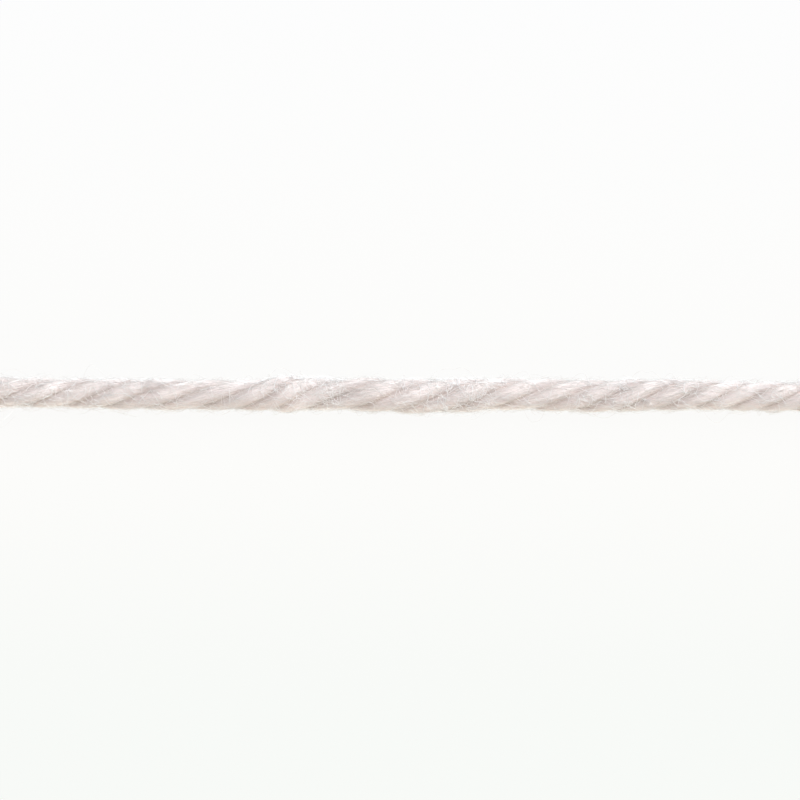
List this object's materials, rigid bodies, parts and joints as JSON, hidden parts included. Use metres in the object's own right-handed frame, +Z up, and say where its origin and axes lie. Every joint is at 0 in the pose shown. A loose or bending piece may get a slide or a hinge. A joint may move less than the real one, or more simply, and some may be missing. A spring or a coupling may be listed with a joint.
{
  "type": "knitting yarn",
  "caption": "Straight cut length of soft plied yarn in a pale pinkish beige, lying flat, with its twist and uneven thickness.",
  "frame": {"origin": "middle of the underside, on the surface that the yarn rests on", "axes": "+X along the yarn, +Z up from the surface, and the plies on top rise towards +Y as X grows"},
  "size_m": [0.1, 0.0038, 0.0034],
  "materials": {
    "wool": "soft, matt and slightly fuzzy"
  },
  "bodies": {
    "root": {"yarn": "wool"}
  },
  "joints": []
}
